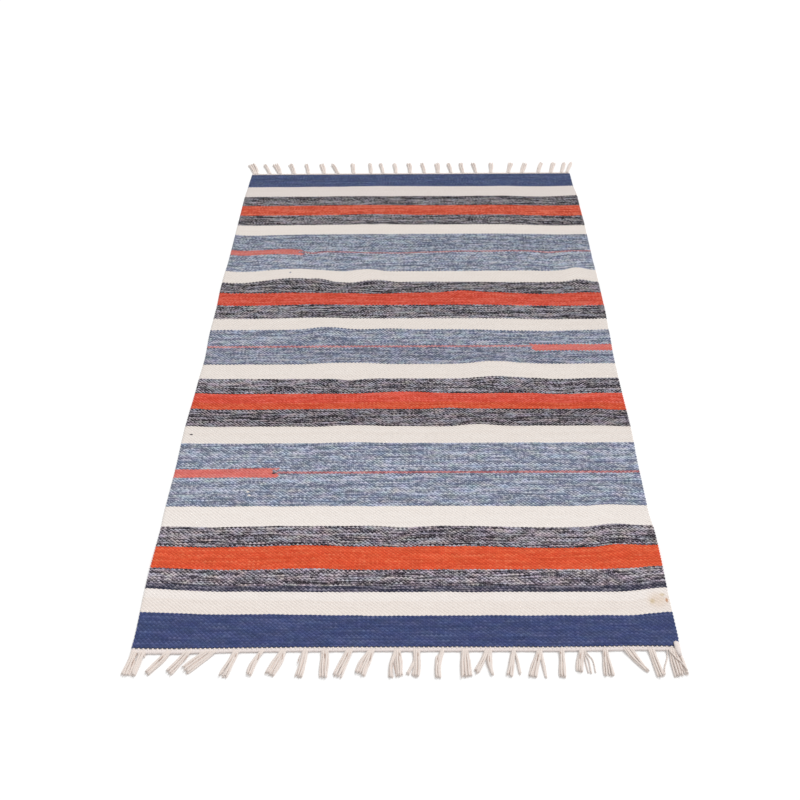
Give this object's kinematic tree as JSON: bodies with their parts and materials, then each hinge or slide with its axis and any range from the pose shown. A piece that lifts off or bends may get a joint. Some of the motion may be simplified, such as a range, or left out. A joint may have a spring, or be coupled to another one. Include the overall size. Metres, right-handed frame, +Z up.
{
  "type": "kilim rug",
  "caption": "Flat-woven striped cotton kilim rug lying flat, with a plaited cord and knotted tassel fringe along each end.",
  "frame": {"origin": "middle of the whole rug's footprint, fringes included, on the floor", "axes": "+X runs across the rug, +Y along its length to the far end, +Z up from the floor"},
  "size_m": [1.2484, 1.9408, 0.0098],
  "materials": {
    "weft_weave": "matte woven cotton in stripes",
    "warp_fringe": "matte undyed cotton cord"
  },
  "bodies": {
    "root": {"rug_field": "weft_weave", "fringe_near": "warp_fringe", "fringe_far": "warp_fringe"}
  },
  "joints": []
}
